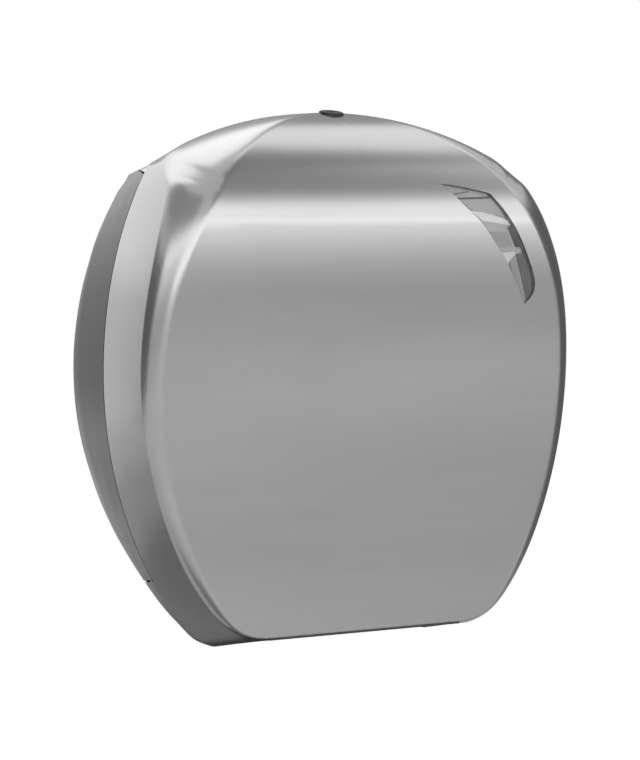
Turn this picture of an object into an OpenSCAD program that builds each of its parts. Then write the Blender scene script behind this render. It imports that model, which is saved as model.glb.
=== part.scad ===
// Jumbo toilet roll dispenser for a wall: a metal-look cover hinged at its foot over a shallow
// back tray, a turning hub for the roll, a curved sight window and a cam lock in the crown.
// Millimetres. The wall is the plane y = 0, the front faces -Y, and the origin is the middle
// of the four wall screw holes.

/* [Housing] */
// Overall width
width = 313; // [305:1:321]
// Overall height
height = 344; // [336:1:352]
// Height of the hub axis above the foot
axis_h = 165; // [161:1:168]
// Radius of the two foot corners
foot_r = 45; // [42:1:48]
// Radius of the lower flanks
low_r = 185; // [178:1:192]
// Radius of the upper flanks
side_r = 290; // [282:2:298]
// Radius of the two crown corners
corner_r = 40; // [38:1:43]
// Depth of the front face at its foot
foot_depth = 128.6; // [126:0.2:132]
// Depth of the front face where it is fullest
full_depth = 143.8; // [141:0.2:147]
// Height above the foot where the face starts to swell
belly_h = 83; // [76:1:92]
// Height above the foot where the face is fullest
brow_h = 269; // [264:1:272]
// Depth of the crown line, where the face turns level
crest_depth = 75; // [72:0.5:78]
// How far the foot slopes down from the front face to the wall
foot_sink = 19.5; // [17:0.5:21]
// Distance from the flank in to the edge of the front face
side_inset = 11.6; // [10:0.2:13]
// Wall thickness of the cover
wall = 2.6; // [2.4:0.1:2.8]
// Depth of the joint line between cover and side panels
seam_depth = 60.5; // [59:0.5:62]
// Height above the foot where the side panels start
panel_low = 34; // [31:1:38]
// Height above the foot where the side panels end
panel_high = 304; // [300:1:306]
// Gap along the joint lines
seam_gap = 0.6; // [0.5:0.1:0.9]

/* [Back tray] */
// Thickness of the tray's wall panel
back_t = 3; // [2.8:0.1:3.2]
// Thickness of the tray's rim and of the side panels
rim_t = 2.4; // [2.2:0.1:2.6]
// Depth of the tray's rim
rim_depth = 57; // [54:0.5:58]
// Height of the stiffening ribs on the wall panel
rib_h = 7; // [5:0.5:8]
// Width between the wall screw holes
screw_dx = 184; // [176:1:192]
// Height between the wall screw holes
screw_dz = 150; // [140:1:160]
// Radius of a wall screw hole
screw_hole_r = 3; // [2.5:0.1:3.5]

/* [Hinge] */
// Distance of the hinge line from the wall
hinge_depth = 16; // [16:0.1:16.6]
// Height of the hinge line above the foot
hinge_h = 2.9; // [2.7:0.1:3.1]
// Distance of each hinge from the middle
hinge_x = 60; // [54:1:64]
// Radius of a hinge pin
pin_r = 2.5; // [2.2:0.1:2.8]
// Width of the cover's hinge ear
ear_w = 7; // [6:0.5:8]
// Thickness of a tray lug
lug_w = 4; // [3:0.5:4.5]

/* [Roll hub] */
// Outer radius of the adapter that fills a wide roll core
adapter_r = 28.5; // [27:0.5:30]
// Outer radius of the turning sleeve
sleeve_r = 20; // [19:0.5:21]
// Radius of the fixed spindle post
post_r = 14; // [13:0.5:14.5]
// Radius of the disc behind the roll
disc_r = 46; // [42:1:50]
// Room between the hub's end and the inside of the cover
hub_room = 22; // [20:1:26]

/* [Lock] */
// Depth of the lock's centre from the wall
lock_depth = 84; // [83:0.5:85]
// Radius of the lock's flange
flange_r = 8.4; // [7.8:0.1:8.8]
// Radius of the lock's threaded barrel
barrel_r = 6; // [5.6:0.1:6.3]
// Radius of the turning plug
plug_r = 4; // [3.6:0.1:4.3]
// Reach of the cam from the lock's axis
cam_reach = 28; // [26:0.5:30]

/* [Paper outlet] */
// Width of the outlet in the foot
slot_w = 124; // [112:2:128]
// Pitch of the tear teeth
tooth_pitch = 4; // [3:0.5:5]
// Depth of a tooth
tooth_d = 3; // [2:0.5:4]

/* [Window] */
// Thickness of the window pane
pane_t = 3.4; // [3.2:0.1:3.6]
// Width of the pane's hidden flange
hem_w = 3.4; // [3:0.1:3.6]

/* [Hidden] */
$fn = 48;

titanium = [0.62, 0.62, 0.63];
dark_plastic = [0.12, 0.12, 0.13];
grey_plastic = [0.45, 0.45, 0.46];
steel = [0.72, 0.72, 0.72];
smoked = [0.35, 0.36, 0.37, 0.5];

// Clearances: turning fits, moving neighbours, seated pieces, and past a cut face
running = 0.06;
slip = 0.4;
seat = 0.1;
eps = 0.5;

// outline seen from the front: h is the heading, 0 along the foot and 180 at the crown
bends = [[foot_r, 0, 51], [low_r, 51, 67], [side_r, 67, 116], [corner_r, 116, 155]];
crown_h = 155;

function cut(v, a, b) = min(max(v, a), b);
function run_x(h, i = 0) = i == len(bends) ? 0
    : bends[i][0] * (sin(cut(h, bends[i][1], bends[i][2])) - sin(bends[i][1])) + run_x(h, i + 1);
function run_z(h, i = 0) = i == len(bends) ? 0
    : bends[i][0] * (cos(bends[i][1]) - cos(cut(h, bends[i][1], bends[i][2]))) + run_z(h, i + 1);

foot_flat = width / 2 - run_x(90);
crown_r = (foot_flat + run_x(crown_h)) / sin(crown_h);
plain_h = run_z(180) + crown_r * (cos(crown_h) + 1);

function out_x(h) = foot_flat + run_x(h) + crown_r * (sin(max(h, crown_h)) - sin(crown_h));
function out_z(h) = (run_z(h) + crown_r * (cos(crown_h) - cos(max(h, crown_h))))
    * height / plain_h;

// A smooth curve through the rows [x, value] of a table
function slope(t, i) = let (a = max(i - 1, 0), b = min(i + 1, len(t) - 1))
    (t[b][1] - t[a][1]) / (t[b][0] - t[a][0]);
function span(t, x, i = 0) = i >= len(t) - 2 || x < t[i + 1][0] ? i : span(t, x, i + 1);
function curve(t, x) =
    let (i = span(t, x), w = t[i + 1][0] - t[i][0], u = cut((x - t[i][0]) / w, 0, 1), v = 1 - u)
    t[i][1] * v * v * (1 + 2 * u) + t[i + 1][1] * u * u * (3 - 2 * u)
    + w * (slope(t, i) * u * v * v - slope(t, i + 1) * u * u * v);

// depth of the face at height z; skin is the distance in from the outer surface
brow_e = 1.8;
function face(z, skin = 0) = z < brow_h
    ? foot_depth - skin + (full_depth - foot_depth)
      * (1 - cos(180 * cut((z - belly_h) / (brow_h - belly_h), 0, 1))) / 2
    : crest_depth + (full_depth - skin - crest_depth)
      * pow(max(1 - pow(cut((z - brow_h) / (height - skin - brow_h), 0, 1), brow_e), 0),
            1 / brow_e);

// Distance from the outline in to the face's edge, by heading
edge_in = [[0, 1.5], [30, 1.8], [51, 5.1], [67, 8.7], [80, 10.4], [90, 11.6], [100, 13.6],
           [108, 17.7], [116, 23.2], [122, 23.7], [134, 23.6], [142, 23], [148, 22.6],
           [153.5, 21.8], [156, 20.2], [158.5, 17.5], [161, 14.2], [165, 9.3], [170, 4.4],
           [175, 1.5], [180, 0]];
// Depth where the flank starts to round over towards the face, by heading
round_from = [[0, 122], [51, 123], [67, 123], [90, 125], [100, 127], [105, 126], [110, 121],
              [114, 112], [120, 95], [130, 82], [140, 78], [150, 75], [180, 60]];
// How far the lower half sinks at the wall, by heading, as a share of the foot's own slope
sink = [[0, 1], [20, 0.97], [40, 0.8], [51, 0.72], [80, 0.72], [90, 0.54], [100, 0.19],
        [110, 0], [180, 0]];
function fall(h, d) = foot_sink * curve(sink, h) * max(1 - d / foot_depth, 0);

function edge(h, skin) = max(curve(edge_in, h) * side_inset / 11.6 - 0.7 * skin,
                             skin > 0 ? 0.3 : 0);

// Step in at the wall, by heading: the flank leans in behind the joint line
step_in = [[0, 14.5], [40, 15], [51, 16], [57, 15.6], [62.5, 14.2], [67.5, 12], [71, 10.2],
           [74.5, 8.2], [78, 6.6], [84, 3.4], [88, 1.9], [94, 1.2], [101, 2.8], [104, 4.2],
           [107.5, 6], [110.5, 9], [114, 13], [120, 17.4], [127, 17], [134, 14.5], [142, 13.3],
           [150, 13.5], [160, 10.5], [170, 4.3], [175, 1.6], [180, 0]];
knee_d = [[51, 24], [70, 20], [90, 10], [100, 7], [180, 7]];
knee_in = 0.45;
mid_d = 38;
mid_in = 0.16;
// From the side panels' bent flank, at 0, to the crown's straight lean, at 1
lean_from = 126;
lean_to = 142;
function lean(h) = let (t = cut((h - lean_from) / (lean_to - lean_from), 0, 1))
    t * t * (3 - 2 * t);
function bent(h, d) = let (b = curve(step_in, h), k = curve(knee_d, h))
    lookup(d, [[0, b], [k, knee_in * b], [mid_d, mid_in * b], [seam_depth, 0]]);
// Distance in from the outline at depth d
function hip(h, d) = (1 - lean(h)) * bent(h, d)
    + lean(h) * curve(step_in, h) * max(1 - d / curve(round_from, h), 0);

heads = [0, 15, 30, 42, 51, 58, 64, 69, 73, 77, 81, 85, 89, 93, 96, 99, 102, 104.5, 107, 109,
         111, 113.5, 116, 120, 126, 134, 142, 148, 151, 153.5, 156, 158.5, 161, 164, 167, 170,
         173, 176.5, 180];
stations = len(heads);
round_n = 6;
round_a = 8;
round_b = 76;
back_n = 4;
rows = back_n + round_n + 1;
columns = 2 * stations - 1;
top_back = 0.6;

// Point at heading h, s in from the outline and d in front of the wall
function place(h, s, d, side) =
    [side * (out_x(h) - s * sin(h)), -d, out_z(h) + s * cos(h) - fall(h, d)];

// Point of the cover's section at heading h, from the rear edge to the edge of the face;
// skin is the distance in from the outer surface
function shell_back(h, row, side, skin) =
    let (d = [top_back, curve(knee_d, h), mid_d, seam_depth + 1][row])
    place(h, skin + hip(h, d), d, side);
function shell_round(h, step, side, skin) =
    let (e = edge(h, skin), far = face(out_z(h) + (skin + e) * cos(h), skin),
         near = min(curve(round_from, h), far - 2),
         a = round_a + (round_b - round_a) * step / round_n,
         s = skin + e * (cos(round_a) - cos(a)) / (cos(round_a) - cos(round_b)),
         d = near + (far - near) * (sin(a) - sin(round_a)) / (sin(round_b) - sin(round_a)))
    place(h, s, d, side);
function shell_point(h, row, side, skin) = row < back_n ? shell_back(h, row, side, skin)
    : shell_round(h, row - back_n, side, skin);

function at(j, row) = (j % columns) * rows + row;
function shell_side(j) = j < stations ? 1 : -1;
function shell_head(j) = heads[j < stations ? j : 2 * stations - 2 - j];

module shell() {
    inner = columns * rows;
    last = rows - 1;
    points = [for (skin = [0, wall]) for (j = [0 : columns - 1]) for (row = [0 : last])
              shell_point(shell_head(j), row, shell_side(j), skin)];
    walls = [for (j = [0 : columns - 1]) for (row = [0 : last - 1])
             let (a = at(j, row), b = at(j + 1, row), c = at(j + 1, row + 1), d = at(j, row + 1))
             each [[a, d, c], [a, c, b], [inner + c, inner + d, inner + a],
                   [inner + b, inner + c, inner + a]]];
    rim = [for (j = [0 : columns - 1]) let (a = at(j, 0), b = at(j + 1, 0))
           each [[inner + a, a, b], [inner + a, b, inner + b]]];
    strips = [for (k = [0 : stations - 3])
              let (a = at(k, last), b = at(k + 1, last),
                   c = at(2 * stations - 3 - k, last), d = at(2 * stations - 2 - k, last))
              each [[b, a, d], [b, d, c], [inner + d, inner + a, inner + b],
                    [inner + c, inner + d, inner + b]]];
    a = at(stations - 2, last);
    b = at(stations - 1, last);
    c = at(stations, last);
    tip = [[b, a, c], [inner + c, inner + a, inner + b]];
    polyhedron(points = points, faces = concat(walls, rim, strips, tip), convexity = 12);
}

// A solid between two copies of the face at the stations, moved back by near and far
module face_band(skin, near, far, width) {
    low = [for (k = [0 : stations - 2]) let (p = shell_point(heads[k], rows - 1, 1, skin))
           [p[1], p[2]]];
    rotate([90, 0, 90])
        linear_extrude(width)
            polygon(concat([for (p = low) p + [near, 0]],
                           [for (k = [stations - 2 : -1 : 0]) low[k] + [far, 0]]));
}

// Something drawn in x and z, reaching from the wall to far in front of the cover
module through_face() rotate([90, 0, 0]) linear_extrude(full_depth + 20) children();

// Something drawn in y and z, reaching across the whole width
module across() translate([-width, 0, 0]) rotate([90, 0, 90]) linear_extrude(2 * width)
    children();

module on_wall() translate([0, 0, -axis_h]) children();

// A round of radius r from the depths a to b along the axis through x and z
module round_y(r, a, b, x = 0, z = axis_h)
    translate([x, -a, z]) rotate([90, 0, 0]) cylinder(r = r, h = b - a);

module round_x(r, x, w) translate([x - w / 2, -hinge_depth, hinge_h]) rotate([0, 90, 0])
    cylinder(r = r, h = w);

// joint lines between the cover and the side panels, in y and z
foot_back = back_t + 4.6;
low_drop = 8;
high_rise = 9.6;
module side_area(gap) {
    polygon([[-seam_depth + gap, panel_low + gap], [-foot_back, panel_low - low_drop + gap],
             [-foot_back, -foot_sink - 10], [10, -foot_sink - 10], [10, panel_high + high_rise - gap],
             [-seam_depth + gap, panel_high - gap]]);
}

// Outer side of the tray rim, inside the side panels and clear of the crown as it opens
top_room = [[110, 0], [117, 1.2], [130, 1.6], [180, 1.6]];
top_draft = [[114, 0], [130, 2.2], [180, 2.2]];
function rim_out(h, d) = (1 - lean(h)) * bent(h, d) + lean(h) * curve(step_in, h)
    + rim_t + seat + curve(top_room, h) + curve(top_draft, h) * d / rim_depth;

// A bent wall along the outline between the rows of points given for each heading; up to
// the row turn, its squares are split along their other diagonal
module loft(list, turn = 0) {
    n = len(list[0]);
    m = len(list);
    faces = [for (j = [0 : m - 2]) for (i = [0 : n - 1])
             let (a = j * n + i, b = j * n + (i + 1) % n, c = a + n, d = b + n)
             each j < turn ? [[a, c, b], [b, c, d]] : [[a, c, d], [a, d, b]]];
    ends = [[for (i = [0 : n - 1]) i], [for (i = [n - 1 : -1 : 0]) (m - 1) * n + i]];
    polyhedron(points = [for (s = list) each s], faces = concat(faces, ends), convexity = 6);
}

panel_heads = [53, 58, 63, 68, 72, 76, 80, 84, 88, 92, 96, 100, 104, 107, 110, 113, 116, 120,
               126, 132, 138, 144];
module side_panel() {
    list = [for (h = panel_heads) let (ds = [seam_depth - seam_gap, mid_d, curve(knee_d, h), 0.4])
            concat([for (i = [0 : 3]) place(h, hip(h, ds[i]), ds[i], 1)],
                   [for (i = [3 : -1 : 0]) place(h, hip(h, ds[i]) + rim_t, ds[i], 1)])];
    intersection() {
        loft(list);
        across() side_area(seam_gap);
    }
}

// back tray
rim_heads = [for (h = panel_heads) if (h > 60 && h < 140) h];
top_heads = [140, 146, 151, 155, 160, 167, 174];
all_heads = concat(rim_heads, top_heads);
module tray_rim() {
    function section(h, side) = let (k = curve(knee_d, h), ds = [rim_depth, mid_d, k, 1])
        concat([for (i = [0 : 3]) place(h, rim_out(h, ds[i]), ds[i], side)],
               [for (i = [3 : -1 : 0]) place(h, rim_out(h, ds[i]) + rim_t, ds[i], side)]);
    loft(concat([for (h = all_heads) section(h, 1)], [section(180, 1)],
                [for (i = [len(all_heads) - 1 : -1 : 0]) section(all_heads[i], -1)]),
         turn = len(all_heads));
}

module tray_panel() {
    foot = [for (h = [0, 15, 30, 42]) place(h, hip(h, 0) + 1, 0, 1)];
    flank = [for (h = concat([51.3, 57.3], all_heads, [179.3])) place(h - 1.3, rim_out(h - 1.3, 0)
             + 0.3, 0, 1)];
    half = concat(foot, flank);
    n = len(half);
    rotate([90, 0, 0])
        linear_extrude(back_t)
            polygon(concat([for (p = half) [p[0], p[2]]],
                           [for (i = [n - 1 : -1 : 0]) [-half[i][0], half[i][2]]]));
}

// An upright rib that ties the rim to the wall panel at heading h
gusset_t = 2.2;
gusset_heads = [98, 104, 110, 116, 134, 144];
module gusset(h, reach, side) {
    low = back_t / 2;
    ds = [low, curve(knee_d, h), mid_d, rim_depth - 6];
    back = [for (d = ds) [rim_out(h, d) + rim_t / 2, -d]];
    foot_in = rim_out(h, low) + reach;
    translate([side * out_x(h), 0, out_z(h)])
        rotate([0, side > 0 ? atan2(-cos(h), -sin(h)) : atan2(-cos(h), sin(h)), 0])
            linear_extrude(gusset_t, center = true)
                polygon(concat(back, [[back[3][0] + 5, back[3][1]], [foot_in, -14],
                                      [foot_in, -low]]));
}

// The rib ring and the eight ribs from the hub
ring_r = 64;
rib_t = 2.2;
rib_len = 90;
hub_flange_r = 30;
boss_d = 7;
lug_r = 5;
spindle_screw_c = 24.5;
catch_x = -19.5;
catch_w = 13;
catch_z = height - 26;
catch_d = lock_depth + 5.6;
module back_tray() color(grey_plastic) on_wall() difference() {
    union() {
        tray_panel();
        tray_rim();
        round_y(hub_flange_r, back_t - eps, boss_d);
        difference() {
            round_y(ring_r, back_t - eps, back_t + rib_h);
            round_y(ring_r - rib_t, back_t - 2 * eps, back_t + rib_h + eps);
        }
        for (a = [22.5 : 45 : 359])
            translate([0, 0, axis_h])
                rotate([0, a, 0])
                    translate([hub_flange_r - 0.7, -back_t - rib_h, -rib_t / 2])
                        cube([rib_len, rib_h + eps, rib_t]);
        for (x = [-1, 1]) for (z = [-1, 1])
            round_y(9, back_t - eps, back_t + 4, x * screw_dx / 2, axis_h + z * screw_dz / 2);
        for (h = gusset_heads) for (side = [-1, 1]) gusset(h, 15, side);
        for (x = [-1, 1]) for (y = [-1, 1])
            translate([x * hinge_x + y * (ear_w / 2 + slip + lug_w / 2), 0, 0]) {
                round_x(lug_r, 0, lug_w);
                translate([-lug_w / 2, -hinge_depth, hinge_h - lug_r])
                    cube([lug_w, hinge_depth - back_t + eps, 2 * lug_r]);
            }
        translate([catch_x - catch_w / 2, -catch_d, catch_z])
            cube([catch_w, catch_d - back_t + eps, 3]);
        translate([catch_x - catch_w / 2, -catch_d, catch_z])
            cube([catch_w, 2, 12]);
        translate([catch_x - 1.2, 0, 0])
            rotate([90, 0, 90])
                linear_extrude(2.4)
                    polygon([[-back_t + eps, catch_z + eps], [-back_t + eps, catch_z - 14],
                             [-20, catch_z - 14], [-catch_d + 6, catch_z + eps]]);
    }
    for (x = [-1, 1]) for (z = [-1, 1])
        round_y(screw_hole_r, -1, 20, x * screw_dx / 2, axis_h + z * screw_dz / 2);
    for (a = [90, 210, 330])
        round_y(2, 1.6, 9, spindle_screw_c * cos(a), axis_h + spindle_screw_c * sin(a));
    for (x = [-1, 1]) round_x(pin_r, x * hinge_x, 40);
}

module side_panel_left() color(titanium) on_wall() mirror([1, 0, 0]) side_panel();
module side_panel_right() color(titanium) on_wall() side_panel();

// hinge pins, fixed in the lugs, with a head on the outer side
pin_len = ear_w + 2 * slip + 2 * lug_w;
module hinge_pin(side) color(steel) on_wall() {
    round_x(pin_r, side * hinge_x, pin_len + 1);
    round_x(pin_r + 1.3, side * (hinge_x + pin_len / 2 + 0.8 + seat / 2), 1.6);
}
module hinge_pin_left() hinge_pin(-1);
module hinge_pin_right() hinge_pin(1);

// roll hub, from the wall outwards
hub_end = face(axis_h) - wall - hub_room;
flange_d = boss_d + 3;
washer_d = flange_d + seat;
washer_r = 20;
disc_d = washer_d + 3.3;
cap_d = hub_end - 6.4;
cap_screw_r = 2.4;
module spindle_post() color(grey_plastic) on_wall() difference() {
    union() {
        round_y(hub_flange_r - 1, boss_d, flange_d);
        round_y(post_r, flange_d - eps, cap_d);
    }
    round_y(cap_screw_r + seat, cap_d - 20, cap_d + 1);
    for (a = [90, 210, 330])
        round_y(2, boss_d - 1, flange_d + 1, spindle_screw_c * cos(a),
                axis_h + spindle_screw_c * sin(a));
}

module spindle_screws() color(steel) on_wall() for (a = [90, 210, 330])
    translate([spindle_screw_c * cos(a), 0, spindle_screw_c * sin(a)]) difference() {
        union() {
            round_y(1.9, 2.4, flange_d + eps);
            round_y(3.6, flange_d, flange_d + 2.2);
        }
        round_y(1.3, flange_d + 1, flange_d + 3);
    }

module friction_washer() color(dark_plastic) on_wall() difference() {
    round_y(washer_r, washer_d, washer_d + 3);
    round_y(post_r + 0.3, washer_d - 1, washer_d + 4);
}

module core_sleeve() color(grey_plastic) on_wall() difference() {
    union() {
        round_y(disc_r, disc_d, disc_d + 2.6);
        round_y(sleeve_r, disc_d, cap_d - 0.3);
        round_y(sleeve_r + 4, disc_d + 2, disc_d + 6);
    }
    round_y(post_r + running, disc_d - 1, cap_d + 1);
    for (a = [30 : 60 : 359])
        round_y(5.5, disc_d - 1, disc_d + 4, 35 * cos(a), axis_h + 35 * sin(a));
}

adapter_d = disc_d + 6 + seat;
adapter_end = cap_d - 6;
module core_adapter() color(dark_plastic) on_wall() difference() {
    round_y(adapter_r, adapter_d, adapter_end);
    round_y(sleeve_r + seat, adapter_d - 1, adapter_end + 1);
    for (a = [0 : 60 : 359])
        translate([0, 0, axis_h])
            rotate([0, a, 0])
                translate([sleeve_r + 2.4, -adapter_end - 1, -7])
                    cube([adapter_r - sleeve_r - 4.8, adapter_end - adapter_d - 1.5, 14]);
}

module sleeve_cap() color(grey_plastic) on_wall() difference() {
    union() {
        round_y(sleeve_r + 1.5, cap_d, cap_d + 2.6);
        round_y(sleeve_r - 2, cap_d + 2, cap_d + 4);
    }
    round_y(cap_screw_r + 2 * seat, cap_d - 1, cap_d + 5);
}

module cap_screw() color(steel) on_wall() difference() {
    union() {
        round_y(cap_screw_r, cap_d - 16, cap_d + 4 + eps);
        round_y(5, cap_d + 4, hub_end);
    }
    translate([-4, -hub_end - 1, axis_h - 0.6]) cube([8, 2, 1.2]);
}

// window: outline on the face in x and height above the foot, which keeps its place on the
// face when the casing's width or height changes
function on_face(p) = [p[0] * width / 313, p[1] * height / 344];
window_points = [[53, 296.6], [61, 292.2], [68, 288], [80.5, 277], [88.5, 269], [99.6, 255],
               [108, 242.6], [113.5, 236], [117, 228], [121.4, 214], [127.3, 219],
               [129.6, 225], [129.2, 231], [126.6, 240], [122, 252.5], [113.4, 267],
               [104.9, 277.4], [96, 287.6], [88.5, 290], [78.5, 291.8], [66, 294]];
window_line = [for (p = window_points) on_face(p)];
module window_area(grow) offset(delta = grow) polygon(window_line);

hem_t = 1.4;
// How far the pane lies behind the face
pane_set = 0.4;
module view_window() color(smoked) on_wall() {
    intersection() {
        through_face() window_area(-0.25);
        face_band(0, pane_set, pane_set + pane_t, width / 2);
    }
    intersection() {
        through_face() window_area(hem_w);
        face_band(wall, seat, seat + hem_t, width / 2);
    }
}

// Where each clip straddles the edge of the pane's hem, with its turn
clip_w = 8;
clip_len = 14;
clip_t = 1.2;
clip_spots = [[64.5, 280, 45], [96, 251, 52], [109, 226, 66]];
module window_clips() color(steel) on_wall() {
    intersection() {
        through_face() for (c = clip_spots)
            translate(on_face(c)) rotate(c[2]) square([clip_w, clip_len], center = true);
        face_band(wall, hem_t + 2 * seat, hem_t + 2 * seat + clip_t, width / 2);
    }
}

// paper outlet in the foot, which slopes down to the wall
floor_tilt = atan(foot_sink / foot_depth);
function floor_z(d) = hip(0, d) - fall(0, d);
module on_floor() translate([0, -foot_depth, 0]) rotate([-floor_tilt, 0, 0])
    translate([0, foot_depth, 0]) children();

slot_back = 67;
slot_front = foot_depth - 10;
frame_x = slot_w / 2 + 8;
frame_back = 62;
frame_t = 1.3;
module tear_frame() color(dark_plastic) on_wall() on_floor() {
    difference() {
        union() {
            translate([-frame_x + seat, -foot_depth + 0.2, 0])
                cube([2 * (frame_x - seat), foot_depth - 0.2 - frame_back - seat, frame_t]);
            translate([-slot_w / 2 + seat, -slot_front + seat, frame_t - eps])
                cube([slot_w - 2 * seat, slot_front - slot_back - 2 * seat, 5]);
            for (x = [-1, 1]) for (y = [0.2, 0.5, 0.8])
                translate([x * (slot_w / 2 - 0.4) - 1.4,
                           -slot_back - y * (slot_front - slot_back) - 4, wall + seat])
                    cube([2.8, 8, 1.6]);
        }
        translate([-slot_w / 2 + 2, -slot_front + 2, -1])
            cube([slot_w - 4, slot_front - slot_back - 4, 10]);
    }
    tooth_n = floor((slot_front - slot_back - 6) / tooth_pitch);
    for (side = [-1, 1])
        translate([side * (slot_w / 2 - 2.3), -slot_front + 3, 0])
            linear_extrude(frame_t)
                polygon(concat([[side, 0]],
                    [for (i = [0 : tooth_n - 1]) each [[0, i * tooth_pitch],
                        [-side * tooth_d, (i + 0.5) * tooth_pitch]]],
                    [[0, tooth_n * tooth_pitch], [side, tooth_n * tooth_pitch]]));
}

// cam lock in the crown, along the face's own normal
lock_w = (lock_depth - crest_depth) / (full_depth - crest_depth);
lock_v = pow(1 - pow(lock_w, brow_e), 1 / brow_e);
lock_z = brow_h + (height - brow_h) * lock_v;
lock_tilt = atan((height - brow_h) / (full_depth - crest_depth)
    * pow(lock_w / lock_v, brow_e - 1));
module at_lock() on_wall() translate([0, -lock_depth, lock_z]) rotate([lock_tilt, 0, 0])
    children();
module disc(r, low, high) translate([0, 0, low]) cylinder(r = r, h = high - low);

sunk = 0.8;
barrel_end = -16;
cam_t = 2;
module lock_barrel() color(dark_plastic) at_lock() difference() {
    union() {
        disc(flange_r, -sunk + seat / 2, 0.7);
        disc(flange_r - 1, 0.7 - 0.2, 1.2);
        disc(barrel_r, barrel_end, 0);
    }
    disc(plug_r + running, barrel_end - 1, 2);
}

module lock_nut() color(steel) at_lock() difference() {
    translate([0, 0, -7]) cylinder(r = 9.6, h = 3.4, $fn = 6);
    disc(barrel_r + seat, -8, -3);
}

module lock_plug() color(dark_plastic) at_lock() difference() {
    union() {
        disc(plug_r, barrel_end - 0.5, 0.9);
        translate([-2.6, -2.6, barrel_end - 0.6 - cam_t])
            cube([5.2, 5.2, cam_t + 0.6]);
    }
    translate([-0.7, -2.6, -3]) cube([1.4, 5.2, 6]);
    disc(1.5, barrel_end - 4 - cam_t, barrel_end + 6);
}

module lock_cam() color(steel) at_lock() translate([0, 0, barrel_end - 0.6 - cam_t])
    difference() {
        union() {
            cylinder(r = 6, h = cam_t);
            translate([-4.5, 0, 0]) cube([9, cam_reach - 4.5, cam_t]);
            translate([0, cam_reach - 4.5, 0]) cylinder(r = 4.5, h = cam_t);
        }
        translate([-2.7, -2.7, -1]) cube([5.4, 5.4, cam_t + 2]);
    }

washer_top = barrel_end - 0.6 - cam_t - seat;
module cam_washer() color(steel) at_lock() difference() {
    disc(5, washer_top - 1, washer_top);
    disc(1.7, washer_top - 2, washer_top + 1);
}

module cam_screw() color(steel) at_lock() difference() {
    union() {
        disc(1.4, washer_top - 1 - eps, barrel_end + 4);
        disc(3, washer_top - 3 - seat, washer_top - 1 - seat / 2);
    }
    disc(1.2, washer_top - 4, washer_top - 2.2);
}

// front cover
ear_base = floor_z(hinge_depth) + wall / 2;
ear_r = 5.5;
// Length of the foot's lug notches in front of the hinge line, and how far they reach up
lug_room = 11.5;
lug_top = 4.1;
module front_cover() color(titanium) {
    on_wall() difference() {
        union() {
            shell();
            for (x = [-1, 1]) {
                round_x(ear_r, x * hinge_x, ear_w);
                translate([x * hinge_x - ear_w / 2, -hinge_depth - ear_r, ear_base])
                    cube([ear_w, 2 * ear_r, hinge_h - ear_base]);
            }
        }
        across() side_area(0);
        through_face() window_area(0);
        on_floor() {
            translate([-slot_w / 2, -slot_front, -1])
                cube([slot_w, slot_front - slot_back, 6]);
            translate([-frame_x, -foot_depth - 2, -1])
                cube([2 * frame_x, foot_depth + 2 - frame_back, 1 + frame_t + seat]);
        }
        for (x = [-1, 1]) {
            round_x(pin_r + running, x * hinge_x, 40);
            for (y = [-1, 1])
                translate([x * hinge_x + y * (ear_w / 2 + slip + lug_w / 2) - lug_w / 2 - slip,
                           -hinge_depth - lug_room, -foot_sink])
                    cube([lug_w + 2 * slip, hinge_depth + lug_room + eps,
                          foot_sink + ear_base + lug_top]);
        }
        translate([0, -lock_depth, lock_z]) rotate([lock_tilt, 0, 0]) {
            disc(barrel_r + seat, -12, 4);
            disc(flange_r + seat, -sunk, 4);
        }
    }
}

back_tray();
side_panel_left();
side_panel_right();
spindle_post();
spindle_screws();
friction_washer();
core_sleeve();
core_adapter();
sleeve_cap();
cap_screw();
hinge_pin_left();
hinge_pin_right();
front_cover();
view_window();
window_clips();
tear_frame();
lock_barrel();
lock_nut();
lock_plug();
lock_cam();
cam_washer();
cam_screw();
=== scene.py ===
# %% [markdown]
# # Jumbo roll dispenser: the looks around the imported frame
#
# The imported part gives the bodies, joints and hidden pieces.
# This notebook adds the finely curved casing, the smoked window, the small lock details,
# the materials, the camera and a plain pale studio.
# Lengths in the formulas are millimetres, and `MM` turns them into metres.
# Heights in the shape functions are above the foot; the wall axis is 165 above it.

# %%
from math import cos, pi, radians, sin

import bpy
import numpy as np
from mathutils import Matrix, Vector


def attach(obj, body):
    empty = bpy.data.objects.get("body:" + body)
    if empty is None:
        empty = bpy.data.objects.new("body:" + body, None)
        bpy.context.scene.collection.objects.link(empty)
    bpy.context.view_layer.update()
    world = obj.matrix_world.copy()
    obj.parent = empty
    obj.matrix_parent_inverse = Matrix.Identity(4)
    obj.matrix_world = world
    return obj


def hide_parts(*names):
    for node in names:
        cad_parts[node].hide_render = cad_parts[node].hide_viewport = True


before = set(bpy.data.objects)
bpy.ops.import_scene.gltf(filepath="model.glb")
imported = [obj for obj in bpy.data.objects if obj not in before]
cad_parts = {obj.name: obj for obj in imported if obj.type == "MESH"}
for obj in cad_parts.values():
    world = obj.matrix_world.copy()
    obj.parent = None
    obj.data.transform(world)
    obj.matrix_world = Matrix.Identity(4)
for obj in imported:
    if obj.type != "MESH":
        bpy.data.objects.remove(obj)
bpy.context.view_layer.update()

MM = 0.001
AXIS_H = 165.0

# %% [markdown]
# ## 1. The casing's formulas
#
# The outline is a chain of arcs by heading, from 0 at the foot to 180 at the crown,
# softened along its length.
# A point of the section lies `s` in from the outline, along the heading's own normal,
# and at the depth `d` in front of the wall.
# Each table gives a few headings, in degrees, and the value there.

# %%
WIDTH, HEIGHT = 313.0, 344.0

# Radius of each arc and the headings it runs between
BENDS = [(45, 0, 51), (185, 51, 67), (290, 67, 116), (40, 116, 155)]
SOFT_REACH, OUTLINE_STEP = 16.0, 0.25

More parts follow.
